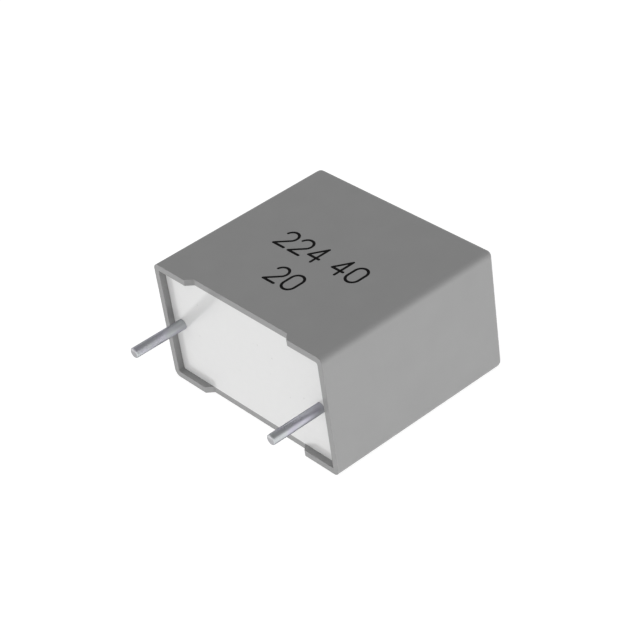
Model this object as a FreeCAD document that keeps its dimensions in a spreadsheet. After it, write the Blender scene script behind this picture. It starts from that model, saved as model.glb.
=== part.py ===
"""Box film capacitor, lying on one of its broad sides.

Millimetres, +Z up. X runs from one wire to the other. Y runs into the body: the four feet end at Y = 0, the
closed end of the case is at the far Y, and the wires leave towards -Y. The origin is midway between the wires,
level with the feet.
"""
import FreeCAD, Part
import math
import os
import Sketcher

from FreeCAD import Placement, Rotation, Vector

# Driving dimensions
SIZES = (
    ("case_length", 18.0, "case, across the two wires"),
    ("case_height", 16.0, "case, from its feet to its closed end"),
    ("case_thickness", 10.0, "case, between its broad sides"),
    ("side_wall", 0.5, "wall of the four sides"),
    ("end_wall", 0.5, "wall of the closed end"),
    ("edge_round", 0.5, "radius of the outer edges"),
    ("inner_round", 0.15, "radius in the corners of the cavity"),
    ("foot_length", 3.5, "foot, along the broad side"),
    ("foot_height", 0.5, "depth of the recess between the feet"),
    ("ramp_angle", 45.0, "slope of the recess ends, degrees from the rim"),
    ("resin_inset", 0.5, "resin surface below the feet"),
    ("lead_wall_gap", 0.6, "resin between a wire and the nearest wall"),
    ("lead_diameter", 0.8, "wire"),
    ("lead_length", 4.0, "wire beyond the feet"),
    ("tip_bevel", 0.06, "bevel of the cut wire end"),
    ("tail_taper", 1.0, "stretch in which the wire flattens"),
    ("tail_thickness", 0.4, "flattened wire, along X"),
    ("tail_width", 1.3, "flattened wire, along Z"),
    ("tail_length", 8.0, "flattened wire, past the taper"),
    ("weld_depth", 0.1, "how far the flattened wire is set into the sprayed end"),
    ("spray_thickness", 0.4, "sprayed metal end of the roll"),
    ("spray_bevel", 0.15, "worn-off outer edge of the sprayed metal"),
    ("wrap_thickness", 0.2, "blank film round the roll"),
    ("roll_side_gap", 0.3, "resin between the wrapped roll and a broad side"),
    ("roll_back_gap", 0.6, "resin between the wrapped roll and the closed end"),
    ("roll_cover", 1.2, "resin over the wrapped roll at the open end"),
    ("core_gap", 0.15, "thickness of the slot at the roll's core"),
)

# Lengths that follow from the driving dimensions, as expressions on the sheet
CAVITY_LENGTH = "sizes.case_length - 2 * sizes.side_wall"
CAVITY_THICKNESS = "sizes.case_thickness - 2 * sizes.side_wall"
CAVITY_FLOOR = "sizes.case_height - sizes.end_wall"
RECESS_MOUTH = "sizes.case_length - 2 * sizes.foot_length"
RECESS_FLOOR = f"{RECESS_MOUTH} - 2 * sizes.foot_height / tan(sizes.ramp_angle)"
ROLL_START = "(sizes.resin_inset + sizes.roll_cover)"
ROLL_END = f"({CAVITY_FLOOR} - sizes.roll_back_gap)"
WRAPPED_RADIUS = "(sizes.case_thickness / 2 - sizes.side_wall - sizes.roll_side_gap)"
ROLL_RADIUS = f"({WRAPPED_RADIUS} - sizes.wrap_thickness)"
CORE_RADIUS = "(sizes.core_gap / 2)"
LEAD_OFFSET = "(sizes.case_length / 2 - sizes.side_wall - sizes.lead_wall_gap - sizes.lead_diameter / 2)"
TAIL_FACE = f"({LEAD_OFFSET} - sizes.tail_thickness / 2)"
SPRAY_FACE = f"({TAIL_FACE} + sizes.weld_depth)"
FILM_EDGE = f"({SPRAY_FACE} - sizes.spray_thickness)"

LEFT, RIGHT = -1, 1
HALF_TURN = 180.0
NEAR_ZERO = 0.001
SUB_PARTS = (
    "case",
    "potting_resin",
    "film_winding",
    "winding_wrap",
    "end_spray_left",
    "end_spray_right",
    "lead_left",
    "lead_right",
)


def make_sheet(doc):
    sheet = doc.addObject("Spreadsheet::Sheet", "sizes")
    for row, (alias, value, meaning) in enumerate(SIZES, start=1):
        sheet.set(f"A{row}", alias)
        sheet.set(f"B{row}", str(value))
        sheet.set(f"C{row}", meaning)
        sheet.setAlias(f"B{row}", alias)
    doc.recompute()
    return sheet


def make_body(doc, label):
    body = doc.addObject("PartDesign::Body", label)
    body.Label = label
    return body


def make_sketch(body, name, plane_role, offset=None):
    """An empty sketch on one of the body's own planes, moved along that plane's normal."""
    sketch = body.newObject("Sketcher::SketchObject", name)
    plane = next(f for f in body.Origin.OriginFeatures if f.Role == plane_role)
    sketch.AttachmentSupport = [(plane, "")]
    sketch.MapMode = "FlatFace"
    if offset:
        sketch.setExpression("AttachmentOffset.Base.z", offset)
    return sketch


def constrain(sketch, name, expression, *arguments):
    """A dimension of the sketch, named and bound to the sheet."""
    index = sketch.addConstraint(Sketcher.Constraint(*arguments))
    sketch.renameConstraint(index, name)
    sketch.setExpression(f"Constraints.{name}", expression)


def close_chain(sketch, chain, kind="Coincident"):
    """Each piece of the outline ends where the next one starts."""
    for i, piece in enumerate(chain):
        following = chain[(i + 1) % len(chain)]
        sketch.addConstraint(Sketcher.Constraint(kind, piece, 2, following, 1))


def draw_polygon(sketch, corners):
    ends = corners[1:] + corners[:1]
    chain = [sketch.addGeometry(Part.LineSegment(a, b), False) for a, b in zip(corners, ends)]
    close_chain(sketch, chain)
    return chain


def draw_rectangle(sketch, width, height):
    """A rectangle centred on the sketch's origin."""
    x, y = 5.0, 3.0
    corners = [Vector(-x, -y, 0), Vector(x, -y, 0), Vector(x, y, 0), Vector(-x, y, 0)]
    bottom, right, top, left = draw_polygon(sketch, corners)
    for side in (bottom, top):
        sketch.addConstraint(Sketcher.Constraint("Horizontal", side))
    for side in (left, right):
        sketch.addConstraint(Sketcher.Constraint("Vertical", side))
    sketch.addConstraint(Sketcher.Constraint("Symmetric", bottom, 1, right, 2, -1, 1))
    constrain(sketch, "width", width, "DistanceX", bottom, 1, bottom, 2, 2 * x)
    constrain(sketch, "height", height, "DistanceY", right, 1, right, 2, 2 * y)


def draw_trapezium(sketch, mouth, floor, depth):
    """A trapezium that stands on the sketch's x axis, the same on both sides of its y axis."""
    wide, narrow, y = 5.0, 4.0, 1.0
    corners = [Vector(-wide, 0, 0), Vector(wide, 0, 0), Vector(narrow, y, 0), Vector(-narrow, y, 0)]
    bottom, _, top, _ = draw_polygon(sketch, corners)
    for side in (bottom, top):
        sketch.addConstraint(Sketcher.Constraint("Symmetric", side, 1, side, 2, -2))
    sketch.addConstraint(Sketcher.Constraint("PointOnObject", bottom, 1, -1))
    constrain(sketch, "mouth", mouth, "DistanceX", bottom, 1, bottom, 2, 2 * wide)
    constrain(sketch, "floor", floor, "DistanceX", top, 2, top, 1, 2 * narrow)
    constrain(sketch, "depth", depth, "DistanceY", -1, 1, top, 1, y)


def draw_racetrack(sketch, prefix, radius, start, end, upright=False):
    """Two half circles joined by straights, with its outermost points at start and end of its long axis.

    The long axis is the sketch's x axis, or its y axis if upright.
    """
    first_radius, first_reach = 0.3, 1.0
    turn = math.pi / 2 if upright else 0.0
    along = Vector(math.cos(turn), math.sin(turn), 0)
    normal = Vector(0, 0, 1)
    quarter = math.pi / 2
    far_circle = Part.Circle(along * first_reach, normal, first_radius)
    near_circle = Part.Circle(along * -first_reach, normal, first_radius)
    far_arc = Part.ArcOfCircle(far_circle, turn - quarter, turn + quarter)
    near_arc = Part.ArcOfCircle(near_circle, turn + quarter, turn + 3 * quarter)
    outline = (
        far_arc,
        Part.LineSegment(far_arc.EndPoint, near_arc.StartPoint),
        near_arc,
        Part.LineSegment(near_arc.EndPoint, far_arc.StartPoint),
    )
    chain = [sketch.addGeometry(piece, False) for piece in outline]
    far, _, near, _ = chain
    close_chain(sketch, chain, "Tangent")
    for arc in (far, near):
        sketch.addConstraint(Sketcher.Constraint("PointOnObject", arc, 3, -2 if upright else -1))
    sketch.addConstraint(Sketcher.Constraint("Equal", far, near))
    way = "DistanceY" if upright else "DistanceX"
    constrain(sketch, f"{prefix}_radius", radius, "Radius", far, first_radius)
    constrain(sketch, f"{prefix}_end", f"{end} - {radius}", way, -1, 1, far, 3, first_reach)
    constrain(sketch, f"{prefix}_start", f"{start} + {radius}", way, -1, 1, near, 3, -first_reach)


def draw_circle(sketch, diameter):
    first_radius = 0.5
    circle = sketch.addGeometry(Part.Circle(Vector(), Vector(0, 0, 1), first_radius), False)
    sketch.addConstraint(Sketcher.Constraint("Coincident", circle, 3, -1, 1))
    constrain(sketch, "diameter", diameter, "Diameter", circle, 2 * first_radius)


def make_pad(body, name, sketch, length, reverse=False, both_ways=False):
    pad = body.newObject("PartDesign::Pad", name)
    pad.Profile = sketch
    pad.Reversed = reverse
    pad.Midplane = both_ways
    pad.setExpression("Length", length)
    return pad


def edges_where(shape, wanted):
    """Names of the edges whose middle satisfies a test."""
    named = enumerate(shape.Edges, start=1)
    return [f"Edge{i}" for i, edge in named if wanted(edge.CenterOfMass)]


def dress_edges(doc, body, kind, name, base, wanted, size_property, size):
    """A fillet or chamfer on chosen edges of the body's last feature."""
    doc.recompute()
    feature = body.newObject(kind, name)
    feature.Base = (base, edges_where(base.Shape, wanted))
    feature.setExpression(size_property, size)
    return feature


def build_case(doc, sheet):
    """The moulded box: a rounded block, hollowed from its open end, with a recess in each broad wall's rim."""
    body = make_body(doc, "case")
    outline = make_sketch(body, "case_outline", "XZ_Plane")
    draw_rectangle(outline, "sizes.case_length", "sizes.case_thickness")
    block = make_pad(body, "case_block", outline, "sizes.case_height", reverse=True)
    rounded = dress_edges(
        doc, body, "PartDesign::Fillet", "outer_rounds", block,
        lambda middle: middle.y > NEAR_ZERO,
        "Radius", "sizes.edge_round",
    )

    mouth = make_sketch(body, "cavity_outline", "XZ_Plane")
    draw_rectangle(mouth, CAVITY_LENGTH, CAVITY_THICKNESS)
    cavity = body.newObject("PartDesign::Pocket", "cavity")
    cavity.Profile = mouth
    cavity.setExpression("Length", CAVITY_FLOOR)
    half_length = sheet.case_length / 2 - sheet.side_wall / 2
    half_thickness = sheet.case_thickness / 2 - sheet.side_wall / 2
    back = sheet.case_height - sheet.end_wall / 2

    def in_cavity(middle):
        return abs(middle.x) < half_length and abs(middle.z) < half_thickness and NEAR_ZERO < middle.y < back

    dress_edges(
        doc, body, "PartDesign::Fillet", "cavity_rounds", cavity, in_cavity, "Radius", "sizes.inner_round"
    )

    relief = make_sketch(body, "recess_outline", "XY_Plane")
    draw_trapezium(relief, RECESS_MOUTH, RECESS_FLOOR, "sizes.foot_height")
    recess = body.newObject("PartDesign::Pocket", "foot_recess")
    recess.Profile = relief
    recess.Type = "ThroughAll"
    recess.Midplane = True
    return body


def build_lead(doc, side, name):
    """One wire: round and bevelled outside, flattened inside the resin where it is welded."""
    body = make_body(doc, name)
    tip = make_sketch(body, f"{name}_section", "XZ_Plane", "sizes.lead_length")
    draw_circle(tip, "sizes.lead_diameter")
    wire = make_pad(body, f"{name}_wire", tip, "sizes.lead_length + sizes.resin_inset", reverse=True)
    root = make_sketch(body, f"{name}_root", "XZ_Plane", "-sizes.resin_inset")
    draw_circle(root, "sizes.lead_diameter")
    flat = make_sketch(body, f"{name}_flat", "XZ_Plane", "-sizes.resin_inset - sizes.tail_taper")
    draw_racetrack(
        flat, "flat", "(sizes.tail_thickness / 2)",
        "(-sizes.tail_width / 2)", "(sizes.tail_width / 2)", upright=True,
    )
    doc.recompute()
    taper = body.newObject("PartDesign::AdditiveLoft", f"{name}_taper")
    taper.Profile = root
    taper.Sections = [flat]
    tail = make_pad(body, f"{name}_tail", flat, "sizes.tail_length", reverse=True)
    doc.recompute()
    end = tail.Shape.BoundBox.YMin
    dress_edges(
        doc, body, "PartDesign::Chamfer", f"{name}_bevel", tail,
        lambda middle: middle.y < end + NEAR_ZERO,
        "Size", "sizes.tip_bevel",
    )
    body.setExpression("Placement.Base.x", f"{side} * {LEAD_OFFSET}")
    return body


def build_winding(doc):
    """The flattened roll, all its turns as one solid, with the slot that the mandrel leaves at its core."""
    body = make_body(doc, "film_winding")
    section = make_sketch(body, "roll_section", "YZ_Plane")
    radius = ROLL_RADIUS
    start = f"({ROLL_START} + sizes.wrap_thickness)"
    end = f"({ROLL_END} - sizes.wrap_thickness)"
    draw_racetrack(section, "roll", radius, start, end)
    draw_racetrack(
        section, "core", CORE_RADIUS,
        f"({start} + {radius} - {CORE_RADIUS})", f"({end} - {radius} + {CORE_RADIUS})",
    )
    make_pad(body, "roll", section, f"2 * {FILM_EDGE}", both_ways=True)
    return body


def build_wrap(doc):
    """The blank film turned round the outside of the roll."""
    body = make_body(doc, "winding_wrap")
    section = make_sketch(body, "wrap_section", "YZ_Plane")
    draw_racetrack(section, "outer", WRAPPED_RADIUS, ROLL_START, ROLL_END)
    draw_racetrack(
        section, "inner", ROLL_RADIUS,
        f"({ROLL_START} + sizes.wrap_thickness)", f"({ROLL_END} - sizes.wrap_thickness)",
    )
    make_pad(body, "wrap", section, f"2 * {FILM_EDGE}", both_ways=True)
    return body


def build_spray(doc, side, name, lead):
    """Sprayed metal over one end of the wrapped roll, with the seat that the welded wire has pressed into it."""
    blank = make_body(doc, f"{name}_blank")
    outline = make_sketch(blank, f"{name}_outline", "YZ_Plane", FILM_EDGE)
    draw_racetrack(outline, "spray", WRAPPED_RADIUS, ROLL_START, ROLL_END)
    plate = make_pad(blank, f"{name}_plate", outline, "sizes.spray_thickness")
    doc.recompute()
    outside = plate.Shape.BoundBox.XMax
    dress_edges(
        doc, blank, "PartDesign::Chamfer", f"{name}_edge", plate,
        lambda middle: middle.x > outside - NEAR_ZERO,
        "Size", "sizes.spray_bevel",
    )
    if side == LEFT:
        blank.Placement = Placement(Vector(), Rotation(Vector(0, 1, 0), HALF_TURN))
    spray = doc.addObject("Part::Cut", name)
    spray.Label = name
    spray.Base = blank
    spray.Tool = lead
    return spray


def build_resin(doc, buried):
    """The cast resin: it fills the case to just below the feet, round everything that is buried in it."""
    fill = make_body(doc, "cavity_fill")
    surface = make_sketch(fill, "resin_surface", "XZ_Plane", "-sizes.resin_inset")
    draw_rectangle(surface, CAVITY_LENGTH, CAVITY_THICKNESS)
    block = make_pad(fill, "fill_block", surface, f"{CAVITY_FLOOR} - sizes.resin_inset", reverse=True)
    doc.recompute()
    level = block.Shape.BoundBox.YMin
    dress_edges(
        doc, fill, "PartDesign::Fillet", "fill_rounds", block,
        lambda middle: middle.y > level + NEAR_ZERO,
        "Radius", "sizes.inner_round",
    )
    roll = make_body(doc, "wrapped_roll")
    section = make_sketch(roll, "wrapped_section", "YZ_Plane")
    draw_racetrack(section, "outer", WRAPPED_RADIUS, ROLL_START, ROLL_END)
    make_pad(roll, "wrapped_length", section, f"2 * {FILM_EDGE}", both_ways=True)

    inside = doc.addObject("Part::MultiFuse", "buried_pieces")
    inside.Shapes = [roll, *buried]
    resin = doc.addObject("Part::Cut", "potting_resin")
    resin.Label = "potting_resin"
    resin.Base = fill
    resin.Tool = inside
    return resin


def build(doc):
    sheet = make_sheet(doc)
    build_case(doc, sheet)
    leads = {side: build_lead(doc, side, name) for side, name in ((LEFT, "lead_left"), (RIGHT, "lead_right"))}
    build_winding(doc)
    build_wrap(doc)
    sprays = [
        build_spray(doc, side, name, leads[side])
        for side, name in ((LEFT, "end_spray_left"), (RIGHT, "end_spray_right"))
    ]
    build_resin(doc, [*sprays, *leads.values()])
    doc.recompute()


def check(doc):
    """Every object recomputed, and every sub-part is one sound solid."""
    for item in doc.Objects:
        failed = {"Invalid", "Error"} & set(item.State)
        if failed:
            raise RuntimeError(f"{item.Label}: {', '.join(sorted(failed))}")
    for label in SUB_PARTS:
        shape = doc.getObjectsByLabel(label)[0].Shape
        if shape.isNull() or not shape.isValid():
            raise RuntimeError(f"{label}: no sound shape")
        if len(shape.Solids) != 1:
            raise RuntimeError(f"{label}: {len(shape.Solids)} solids")
        print(f"{label}: {shape.Volume:.3f} cubic mm, {len(shape.Faces)} faces")


def write(doc):
    os.makedirs("parts", exist_ok=True)
    for label in SUB_PARTS:
        doc.getObjectsByLabel(label)[0].Shape.exportStep(f"parts/{label}.step")


document = FreeCAD.newDocument("box_film_capacitor")
build(document)
check(document)
write(document)
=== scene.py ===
"""Looks of a box film capacitor: its finishes, its printed figures, the floor, the lamps and the camera.

Metres, in the row frame: X from wire to wire, Y into the body away from the wires' free ends, Z up.
"""

import math

import bmesh
import bpy
from mathutils import Matrix, Vector


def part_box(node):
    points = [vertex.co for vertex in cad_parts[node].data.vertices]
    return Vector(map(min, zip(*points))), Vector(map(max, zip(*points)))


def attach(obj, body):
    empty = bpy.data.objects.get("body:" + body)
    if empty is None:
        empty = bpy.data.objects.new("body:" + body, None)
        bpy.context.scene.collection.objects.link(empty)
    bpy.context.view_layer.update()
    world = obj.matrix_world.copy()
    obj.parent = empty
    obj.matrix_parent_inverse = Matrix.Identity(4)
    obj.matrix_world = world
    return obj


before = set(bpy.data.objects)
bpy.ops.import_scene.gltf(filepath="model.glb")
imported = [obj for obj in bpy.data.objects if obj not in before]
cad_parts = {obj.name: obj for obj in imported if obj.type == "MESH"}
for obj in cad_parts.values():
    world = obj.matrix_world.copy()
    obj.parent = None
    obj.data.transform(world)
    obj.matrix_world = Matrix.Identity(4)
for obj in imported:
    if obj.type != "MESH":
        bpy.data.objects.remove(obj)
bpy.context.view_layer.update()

MM = 0.001
MICRON = 0.000001

# Sizes read from the frame
CASE_LOW, CASE_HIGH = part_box("case")
RESIN_LOW, RESIN_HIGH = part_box("potting_resin")
ROLL_LOW, ROLL_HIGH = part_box("film_winding")
WIRE_LOW, WIRE_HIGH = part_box("lead_right")
WIRE_OFFSET = (WIRE_LOW.x + WIRE_HIGH.x) / 2
WIRE_RADIUS = (WIRE_HIGH.x - WIRE_LOW.x) / 2
WIRE_TIP = WIRE_LOW.y

# Half the length of the recess between the feet, at its mouth and at its floor. Its ends slope at 45
# degrees down to the level of the resin.
FOOT_LENGTH = 3.5 * MM
RECESS_MOUTH = CASE_HIGH.x - FOOT_LENGTH
RECESS_FLOOR = RECESS_MOUTH - (RESIN_LOW.y - CASE_LOW.y)

# Camera, solved from the straight edges of the case in the photograph. Lens and sensor in millimetres.
CAMERA_AZIMUTH = math.radians(53.3422)
CAMERA_ELEVATION = math.radians(35.4824)
CAMERA_ROLL = math.radians(-8.6335)
CAMERA_DISTANCE = 141.745 * MM
CAMERA_TARGET = Vector((0.3417, 6.8342, 0.3154)) * MM
CAMERA_LENS = 112.7805
CAMERA_SENSOR = 36.0
CAMERA_NEAR_END = 1 * MM

# Lamps: name, azimuth and elevation in degrees, distance, width, and the brightness that the lamp alone
# gives a white surface turned to it
LAMPS = (
    ("low_side_softbox", 96.0, -38.0, 350 * MM, 90 * MM, 0.45),
    ("side_softbox", 97.0, -6.0, 350 * MM, 220 * MM, 0.205),
    ("front_softbox", 0.0, 0.0, 350 * MM, 220 * MM, 0.345),
    ("low_front_lamp", -53.0, -37.5, 350 * MM, 20 * MM, 0.31),
)

# Surroundings: the light that they give, and the tone of the ceiling that gloss shows over a white
# backdrop, with the sines of the heights where the backdrop ends and the ceiling begins
AMBIENT_LIGHT = 0.60
CEILING_TONE = 0.32
BACKDROP_END = 0.15
CEILING_START = 0.70

# Printed figures: plain numbers, centred on the broad side
FIGURE_HEIGHT = 1.81 * MM
FIGURE_WIDTH = 1.10 * MM
FIGURE_GAP = 0.48 * MM
SPACE_WIDTH = 0.45 * MM
STROKE_RADIUS = 0.112 * MM
INK_THICKNESS = 5 * MICRON
WELD_DISTANCE = 0.1 * MICRON

# Lines of figures: name, text, middle along X and baseline along Y
FIGURE_LINES = (
    ("figures_upper", "224 40", 0.10 * MM, 7.09 * MM),
    ("figures_lower", "20", 0.05 * MM, 3.75 * MM),
)

# Angles between which the hook of a 2 turns, and where the upright and the bar of a 4 lie
HOOK_START = 165
HOOK_END = -38
UPRIGHT_SHARE = 0.74
BAR_SHARE = 0.30

# Fineness of the pen strokes: steps in an arc, steps in a rounded end, and the pen's own roundness
ARC_STEPS = 14
END_STEPS = 5
PEN_RESOLUTION = 3

# Floor: half its width, its gap under the case, its tone, and where it is seen its glow and its shade
FLOOR_REACH = 1.0
FLOOR_GAP = 5 * MICRON
FLOOR_ALBEDO = 0.8
FLOOR_GLOW = 0.80
FLOOR_SHADE = 0.45

# Places of a mix node's sockets: its factor, its two values and its result
MIX_SOCKETS = {"FLOAT": (0, 2, 3, 0), "RGBA": (0, 6, 7, 2)}


class Nodes:
    """A node tree under construction. Most helpers add nodes and return the output of the last."""

    def __init__(self, tree):
        self.tree = tree

    def feed(self, socket, value):
        if isinstance(value, bpy.types.NodeSocket):
            self.tree.links.new(value, socket)
        else:
            socket.default_value = value

    def node(self, kind, inputs=None, **settings):
        node = self.tree.nodes.new(kind)
        for setting, value in settings.items():
            setattr(node, setting, value)
        for socket, value in (inputs or {}).items():
            self.feed(node.inputs[socket], value)
        return node

    def math(self, operation, a, b=0.0, c=0.0):
        node = self.node("ShaderNodeMath", {0: a, 1: b, 2: c}, operation=operation)
        return node.outputs["Value"]

    def length(self, a, b):
        """The length of a vector with these two parts."""
        squares = self.math("MULTIPLY_ADD", a, a, self.math("MULTIPLY", b, b))
        return self.math("SQRT", squares)

    def fade(self, distance, reach):
        """1 at no distance, and about a third at the given reach."""
        return self.math("EXPONENT", self.math("DIVIDE", distance, -reach))

    def axes(self, vector):
        node = self.node("ShaderNodeSeparateXYZ", {"Vector": vector})
        return [node.outputs[axis] for axis in "XYZ"]

    def spread(self, value, low, high, start=0.0, end=1.0):
        """The value's range from start to end, mapped to the range from low to high and kept in it."""
        inputs = {"Value": value, "From Min": start, "From Max": end, "To Min": low, "To Max": high}
        return self.node("ShaderNodeMapRange", inputs).outputs["Result"]

    def mix(self, factor, first, second, kind="RGBA"):
        """A mix of two colours, or of two numbers where the kind is FLOAT."""
        factor_place, first_place, second_place, result_place = MIX_SOCKETS[kind]
        inputs = {factor_place: factor, first_place: first, second_place: second}
        return self.node("ShaderNodeMix", inputs, data_type=kind).outputs[result_place]

    def seen_by(self, first, *others):
        """1 where one of the named kinds of ray sees the surface, and 0 where none does."""
        path = self.node("ShaderNodeLightPath")
        seen = path.outputs[first]
        for ray in others:
            seen = self.math("MAXIMUM", seen, path.outputs[ray])
        return seen


class Finish(Nodes):
    """A procedural material under construction."""

    def __init__(self, name):
        self.material = bpy.data.materials.new(name)
        self.material.use_nodes = True
        super().__init__(self.material.node_tree)
        self.shader = self.tree.nodes["Principled BSDF"]
        self.position = self.node("ShaderNodeTexCoord").outputs["Object"]

    def surface(self, **values):
        """Sets or links the shader's own sockets."""
        for name, value in values.items():
            self.feed(self.shader.inputs[name.replace("_", " ")], value)

    def noise(self, size, detail=2.0, stretch=None):
        """Smooth noise from 0 to 1 with features of about the given size. Along an axis whose stretch
        is below 1 they are longer.
        """
        vector = self.position
        if stretch:
            stretched = self.node("ShaderNodeVectorMath", {0: vector, 1: stretch}, operation="MULTIPLY")
            vector = stretched.outputs["Vector"]
        node = self.node("ShaderNodeTexNoise", {"Vector": vector, "Scale": 1 / size, "Detail": detail})
        return node.outputs["Fac"]

    def cells(self, size):
        """Distance to the nearest of some scattered points, in cell widths."""
        node = self.node("ShaderNodeTexVoronoi", {"Vector": self.position, "Scale": 1 / size})
        return node.outputs["Distance"]

    def bump(self, height, depth, normal=None):
        """Relief of the given depth, over the relief of another normal if there is one."""
        node = self.node("ShaderNodeBump", {"Height": height, "Distance": depth})
        if normal:
            self.feed(node.inputs["Normal"], normal)
        return node.outputs["Normal"]


def grey(value, red=1.0, green=1.0, blue=1.0):
    """A grey of this brightness, tinted by the shares of its red, green and blue."""
    return (value * red, value * green, value * blue, 1.0)


def moulded_plastic():
    """Grey moulding compound: a fine even grain, and broad patches that differ a little in tone. Inside,
    a thin dark line of painted shade follows the resin.
    """
    grain_share = 0.35
    patch_share = 0.65
    wall_tolerance = 20 * MICRON
    painted_line_reach = 0.08 * MM
    painted_line_strength = 0.30
    painted_line_colour = grey(0.10, 1.0, 0.98, 0.93)
    finish = Finish("moulded_plastic")
    grain = finish.noise(0.11 * MM, detail=3.0)
    patches = finish.noise(2.6 * MM, detail=3.0)
    patch_tone = finish.math("MULTIPLY", patches, patch_share)
    tone = finish.math("ADD", finish.math("MULTIPLY", grain, grain_share), patch_tone)
    compound = finish.mix(tone, grey(0.294), grey(0.336))
    x, y, z = finish.axes(finish.position)
    past_end = finish.math("SUBTRACT", finish.math("ABSOLUTE", x), RESIN_HIGH.x)
    past_side = finish.math("SUBTRACT", finish.math("ABSOLUTE", z), RESIN_HIGH.z)
    inside = finish.math("LESS_THAN", finish.math("MAXIMUM", past_end, past_side), wall_tolerance)
    over_resin = finish.math("MAXIMUM", finish.math("SUBTRACT", RESIN_LOW.y, y), 0.0)
    # Painted shade: a thin dark line on the inner walls just above the resin
    line = finish.math("MULTIPLY", inside, finish.fade(over_resin, painted_line_reach))
    finish.surface(
        Base_Color=finish.mix(finish.math("MULTIPLY", line, painted_line_strength), compound, painted_line_colour),
        Roughness=finish.spread(grain, 0.46, 0.66),
        Specular_IOR_Level=0.35,
        Normal=finish.bump(grain, 5 * MICRON),
    )
    return finish.material


def cast_resin():
    """Off-white cast resin: smooth, slightly wavy, with a few pinholes. It climbs a little at the wires
    and where a wall stands over it, so not between the feet, and painted shade darkens it along those
    walls.
    """
    climb_reach = 0.09 * MM
    climb_height = 25 * MICRON
    painted_shade_reach = 0.3 * MM
    painted_shade_strength = 0.3
    # Between the feet no wall stands over the resin, so there it counts as this much farther away
    absent_wall_distance = 1.0 * MM
    finish = Finish("cast_resin")
    x, _, z = finish.axes(finish.position)
    across = finish.math("ABSOLUTE", x)
    to_end = finish.math("SUBTRACT", RESIN_HIGH.x, across)
    to_side = finish.math("SUBTRACT", RESIN_HIGH.z, finish.math("ABSOLUTE", z))
    between_feet = finish.spread(across, absent_wall_distance, 0.0, RECESS_FLOOR, RECESS_MOUTH)
    to_wall = finish.math("MINIMUM", to_end, finish.math("ADD", to_side, between_feet))
    from_axis = finish.math("SUBTRACT", across, WIRE_OFFSET)
    to_wire = finish.math("SUBTRACT", finish.length(z, from_axis), WIRE_RADIUS)
    climb = finish.fade(finish.math("MINIMUM", to_wall, to_wire), climb_reach)
    # Painted shade: the colour darkens towards the walls that stand over the resin
    shade = finish.math("MULTIPLY", finish.fade(to_wall, painted_shade_reach), painted_shade_strength)
    swell = finish.noise(2.4 * MM)
    haze = finish.noise(0.5 * MM, detail=4.0)
    pinholes = finish.spread(finish.cells(1.6 * MM), 0.0, 1.0, start=0.01, end=0.04)
    wavy = finish.bump(swell, 30 * MICRON)
    hazy = finish.bump(haze, 1 * MICRON, wavy)
    pitted = finish.bump(pinholes, 8 * MICRON, hazy)
    cast = finish.mix(haze, grey(0.724, 1.0, 1.0, 0.995), grey(0.756, 1.0, 1.0, 0.998))
    finish.surface(
        Base_Color=finish.mix(shade, cast, grey(0.45)),
        Roughness=finish.spread(haze, 0.24, 0.36),
        IOR=1.55,
        Normal=finish.bump(climb, climb_height, pitted),
    )
    return finish.material


def tinned_wire():
    """Tinned wire: soft metal with faint lines along its length, its mottled tin rougher towards the
    resin and darkened there by painted shade. The sheared end is rough, with a painted highlight along
    its upper edge.
    """
    cut_edge = WIRE_TIP + 5 * MICRON
    skin_edge = WIRE_TIP + 20 * MICRON
    raggedness = 0.15 * MM
    torn_edge = 0.18 * MM
    painted_highlight_edge = 0.30 * MM
    bright_edge = RESIN_LOW.y - 2.0 * MM
    resin_side_edge = RESIN_LOW.y - 0.5 * MM
    painted_tin_shade = 0.2
    resin_side_roughness = 0.3
    sheared_roughness = 0.15
    finish = Finish("tinned_wire")
    _, y, z = finish.axes(finish.position)
    lines = finish.noise(0.045 * MM, detail=3.0, stretch=(1.0, 0.02, 1.0))
    waves = finish.noise(0.32 * MM, stretch=(1.0, 0.5, 1.0))
    mottle = finish.noise(0.5 * MM, detail=3.0, stretch=(1.0, 0.4, 1.0))
    bloom = finish.noise(1.0 * MM, stretch=(1.0, 0.7, 1.0))
    torn = finish.noise(0.05 * MM, detail=3.0, stretch=(1.0, 1.0, 0.12))

    sheared = finish.spread(y, 1.0, 0.0, cut_edge, skin_edge)
    ragged_height = finish.math("MULTIPLY_ADD", torn, raggedness, z)
    # Painted highlight: the upper edge of the sheared end is lighter
    painted_highlight = finish.spread(ragged_height, 0.0, 1.0, torn_edge, painted_highlight_edge)
    cut_face_highlit = finish.mix(painted_highlight, grey(0.58, 1.0, 1.0, 1.03), grey(0.78, 1.0, 1.0, 1.02))

    mottled = finish.spread(mottle, 0.0, 1.0, start=0.3, end=0.7)
    lilac = finish.mix(mottled, grey(0.55, 1.0, 0.97, 1.12), grey(0.63, 0.98, 0.99, 1.09))
    bloomed = finish.spread(bloom, 0.0, 1.0, start=0.4, end=0.6)
    unshaded_tin = finish.mix(bloomed, lilac, grey(0.60, 0.97, 1.01, 1.03))
    # Painted shade: the tin darkens towards the resin
    toward_resin = finish.spread(y, 0.0, 1.0, bright_edge, resin_side_edge)
    tin = finish.mix(finish.math("MULTIPLY", toward_resin, painted_tin_shade), unshaded_tin, grey(0.36, 1.0, 1.0, 1.04))

    drawn = finish.spread(mottle, 0.36, 0.22, start=0.3, end=0.7)
    roughened = finish.math("MULTIPLY_ADD", sheared, sheared_roughness, drawn)
    relief = finish.mix(sheared, lines, torn)
    finish.surface(
        Base_Color=finish.mix(sheared, tin, cut_face_highlit),
        Metallic=1.0,
        Specular_Tint=grey(0.0),
        Roughness=finish.math("MULTIPLY_ADD", toward_resin, resin_side_roughness, roughened),
        Normal=finish.bump(relief, 3 * MICRON, finish.bump(waves, 14 * MICRON)),
    )
    return finish.material


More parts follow.
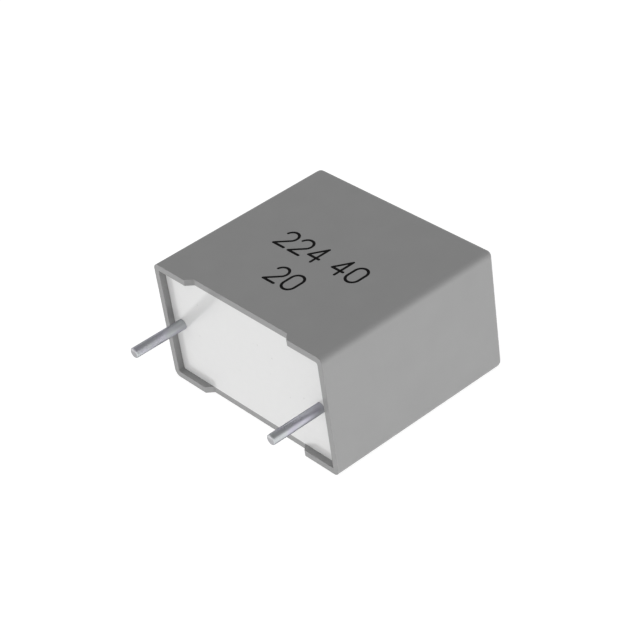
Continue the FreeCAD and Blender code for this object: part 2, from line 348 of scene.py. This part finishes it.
def printed_ink():
    """Black ink, a little thinner in places."""
    finish = Finish("printed_ink")
    density = finish.noise(0.16 * MM, detail=3.0)
    finish.surface(
        Base_Color=finish.mix(density, grey(0.001), grey(0.005)),
        Roughness=finish.spread(density, 0.42, 0.62),
        Specular_IOR_Level=0.05,
        Normal=finish.bump(density, 1 * MICRON),
    )
    return finish.material


def sprayed_zinc():
    """Metal built up from sprayed droplets: grey, matt and pebbly."""
    finish = Finish("sprayed_zinc")
    droplets = finish.cells(0.12 * MM)
    clouds = finish.noise(0.9 * MM, detail=3.0)
    finish.surface(
        Base_Color=finish.mix(clouds, grey(0.30), grey(0.46)),
        Metallic=0.85,
        Roughness=finish.spread(droplets, 0.5, 0.8),
        Normal=finish.bump(droplets, 40 * MICRON),
    )
    return finish.material


def turns_of_film(name, pale, deep, metallic):
    """Film wound on a flat core: fine rings at the ends of the roll, and a smooth outside."""
    turn_pitch = 0.07 * MM
    middle = (ROLL_LOW.y + ROLL_HIGH.y) / 2
    half_core = (ROLL_HIGH.y - ROLL_LOW.y) / 2 - ROLL_HIGH.z
    finish = Finish(name)
    _, y, z = finish.axes(finish.position)
    along = finish.math("ABSOLUTE", finish.math("SUBTRACT", y, middle))
    past_core = finish.math("MAXIMUM", finish.math("SUBTRACT", along, half_core), 0.0)
    radius = finish.length(z, past_core)
    ring = finish.math("SINE", finish.math("MULTIPLY", radius, math.tau / turn_pitch))
    slack = finish.noise(0.8 * MM, stretch=(0.3, 1.0, 1.0))
    finish.surface(
        Base_Color=finish.mix(finish.spread(ring, 0.0, 1.0, start=-1.0, end=1.0), deep, pale),
        Metallic=metallic,
        Roughness=finish.spread(slack, 0.18, 0.34),
        Normal=finish.bump(ring, 4 * MICRON, finish.bump(slack, 20 * MICRON)),
    )
    return finish.material


def dress(material, *nodes):
    for node in nodes:
        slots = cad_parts[node].material_slots
        slots[0].material = material


def arc_points(centre, radius, start, end):
    """Points of an arc, angles in degrees."""
    turns = [math.radians(start + (end - start) * i / ARC_STEPS) for i in range(ARC_STEPS + 1)]
    return [(centre[0] + radius * math.cos(turn), centre[1] + radius * math.sin(turn)) for turn in turns]


def figure_strokes(figure):
    """The pen strokes of one figure: each a list of points, and whether it closes on itself."""
    wide, tall = FIGURE_WIDTH, FIGURE_HEIGHT
    bend = wide / 2
    if figure == "0":
        top = arc_points((bend, tall - bend), bend, 0, 180)
        bottom = arc_points((bend, bend), bend, 180, 360)
        return [(top + bottom, True)]
    if figure == "2":
        hook = arc_points((bend, tall - bend), bend, HOOK_START, HOOK_END)
        foot = [(0.0, 0.0), (wide, 0.0)]
        return [(hook + [(0.0, 0.0)], False), (foot, False)]
    if figure == "4":
        upright, bar = UPRIGHT_SHARE * wide, BAR_SHARE * tall
        stem = [(upright, 0.0), (upright, tall)]
        slope = [(upright, tall), (0.0, bar)]
        crossing = [(0.0, bar), (wide, bar)]
        return [(stem, False), (slope, False), (crossing, False)]
    return []


def rounded_ends(points):
    """The stroke with its share of the pen's width at each point, which shrinks to nothing over a half
    circle at both ends.
    """

    def cap(end, following):
        end, following = Vector(end), Vector(following)
        inward = (following - end).normalized()
        turns = [math.pi / 2 * i / END_STEPS for i in range(END_STEPS)]
        return [(end - inward * STROKE_RADIUS * math.cos(turn), math.sin(turn)) for turn in turns]

    body = [(Vector(point), 1.0) for point in points]
    return cap(points[0], points[1]) + body + cap(points[-1], points[-2])[::-1]


def drawn_figures(name, text, middle, baseline):
    """A curve with the pen strokes of a line of figures, lying on the plane Z = 0."""
    widths = [SPACE_WIDTH if figure == " " else FIGURE_WIDTH for figure in text]
    start = middle - (sum(widths) + FIGURE_GAP * (len(text) - 1)) / 2
    pen = bpy.data.curves.new(name, "CURVE")
    pen.dimensions = "3D"
    pen.bevel_depth = STROKE_RADIUS
    pen.bevel_resolution = PEN_RESOLUTION
    for figure, width in zip(text, widths):
        for points, closed in figure_strokes(figure):
            line = [(Vector(point), 1.0) for point in points] if closed else rounded_ends(points)
            spline = pen.splines.new("POLY")
            spline.points.add(len(line) - 1)
            spline.use_cyclic_u = closed
            for target, (point, radius) in zip(spline.points, line):
                target.co = (start + point.x, baseline + point.y, 0.0, 1.0)
                target.radius = radius
        start += width + FIGURE_GAP
    return pen


def print_figures(name, text, middle, baseline):
    """A line of figures as a thin film of ink on the broad side."""
    drawn = bpy.data.objects.new(f"{name}_pen", drawn_figures(name, text, middle, baseline))
    mesh = bpy.data.meshes.new_from_object(drawn)
    bpy.data.objects.remove(drawn)
    mesh.name = name
    shape = bmesh.new()
    shape.from_mesh(mesh)
    bmesh.ops.remove_doubles(shape, verts=shape.verts, dist=WELD_DISTANCE)
    shape.to_mesh(mesh)
    shape.free()
    flatten = Matrix.Diagonal((1.0, 1.0, INK_THICKNESS / STROKE_RADIUS, 1.0))
    mesh.transform(Matrix.Translation((0.0, 0.0, CASE_HIGH.z)) @ flatten)
    mesh.materials.clear()
    mesh.materials.append(printed_ink())
    figures = bpy.data.objects.new(name, mesh)
    bpy.context.scene.collection.objects.link(figures)
    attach(figures, "root")


def floor_material():
    """White where it is seen, directly or in gloss, with the shadow kept. Where it only gives light it
    is plain and pale.
    """
    material = bpy.data.materials.new("pale_floor")
    material.use_nodes = True
    material.node_tree.nodes.clear()
    nodes = Nodes(material.node_tree)
    glow = nodes.node("ShaderNodeEmission", {"Strength": FLOOR_GLOW}).outputs[0]
    shade = nodes.node("ShaderNodeBsdfDiffuse", {"Color": grey(FLOOR_SHADE)}).outputs[0]
    white = nodes.node("ShaderNodeAddShader", {0: glow, 1: shade}).outputs[0]
    plain = nodes.node("ShaderNodeBsdfDiffuse", {"Color": grey(FLOOR_ALBEDO)}).outputs[0]
    seen = nodes.seen_by("Is Camera Ray", "Is Glossy Ray", "Is Transmission Ray")
    choice = nodes.node("ShaderNodeMixShader", {0: seen, 1: plain, 2: white}).outputs[0]
    nodes.node("ShaderNodeOutputMaterial", {"Surface": choice})
    return material


def lay_floor():
    """A wide floor. It casts no shadow, so the lamps under it reach the object."""
    level = CASE_LOW.z - FLOOR_GAP
    sides = ((-1, -1), (1, -1), (1, 1), (-1, 1))
    corners = [(x * FLOOR_REACH, y * FLOOR_REACH, level) for x, y in sides]
    mesh = bpy.data.meshes.new("floor")
    mesh.from_pydata(corners, [], [(0, 1, 2, 3)])
    mesh.materials.append(floor_material())
    floor = bpy.data.objects.new("floor", mesh)
    bpy.context.scene.collection.objects.link(floor)
    floor.visible_shadow = False


def light_world():
    """Soft light from all round. To the camera it is white, and in gloss a white backdrop with a darker
    ceiling over it.
    """
    world = bpy.data.worlds.new("studio")
    bpy.context.scene.world = world
    world.use_nodes = True
    nodes = Nodes(world.node_tree)
    _, _, height = nodes.axes(nodes.node("ShaderNodeTexCoord").outputs["Generated"])
    backdrop = nodes.spread(height, 1.0, CEILING_TONE, BACKDROP_END, CEILING_START)
    glossy = nodes.seen_by("Is Glossy Ray", "Is Transmission Ray")
    unseen = nodes.mix(glossy, AMBIENT_LIGHT, backdrop, kind="FLOAT")
    brightness = nodes.mix(nodes.seen_by("Is Camera Ray"), unseen, 1.0, kind="FLOAT")
    background = world.node_tree.nodes["Background"]
    nodes.feed(background.inputs["Color"], grey(1.0))
    nodes.feed(background.inputs["Strength"], brightness)


def place(azimuth, elevation, distance):
    """A point this far from the camera's target. Azimuth 0 is at -Y, and it grows towards +X."""
    flat = math.cos(elevation)
    direction = Vector((math.sin(azimuth) * flat, -math.cos(azimuth) * flat, math.sin(elevation)))
    return CAMERA_TARGET + direction * distance


def hang_lamp(name, azimuth, elevation, distance, width, brightness):
    """A round lamp turned to the object. Its power follows from the brightness that it gives there. In
    its place, gloss shows the white floor and the backdrop.
    """
    lamp = bpy.data.lights.new(name, "AREA")
    lamp.shape = "DISK"
    lamp.size = width
    lamp.energy = brightness * (math.pi * distance) ** 2
    holder = bpy.data.objects.new(name, lamp)
    holder.location = place(math.radians(azimuth), math.radians(elevation), distance)
    aim = CAMERA_TARGET - holder.location
    holder.rotation_euler = aim.to_track_quat("-Z", "Y").to_euler()
    holder.visible_camera = False
    holder.visible_glossy = False
    bpy.context.scene.collection.objects.link(holder)


def set_camera():
    data = bpy.data.cameras.new("camera")
    data.sensor_width = CAMERA_SENSOR
    data.lens = CAMERA_LENS
    data.clip_start = CAMERA_NEAR_END
    camera = bpy.data.objects.new("camera", data)
    spot = place(CAMERA_AZIMUTH, CAMERA_ELEVATION, CAMERA_DISTANCE)
    level = (CAMERA_TARGET - spot).to_track_quat("-Z", "Y").to_matrix().to_4x4()
    camera.matrix_world = Matrix.Translation(spot) @ level @ Matrix.Rotation(CAMERA_ROLL, 4, "Z")
    bpy.context.scene.collection.objects.link(camera)
    bpy.context.scene.camera = camera


dress(moulded_plastic(), "case")
dress(cast_resin(), "potting_resin")
dress(tinned_wire(), "lead_left", "lead_right")
dress(sprayed_zinc(), "end_spray_left", "end_spray_right")
dress(turns_of_film("wound_film", pale=grey(0.72), deep=grey(0.5), metallic=0.8), "film_winding")
dress(turns_of_film("blank_film", pale=grey(0.82), deep=grey(0.7), metallic=0.0), "winding_wrap")
for figures in FIGURE_LINES:
    print_figures(*figures)
lay_floor()
light_world()
for lamp in LAMPS:
    hang_lamp(*lamp)
set_camera()
bpy.context.scene.view_settings.view_transform = "Standard"
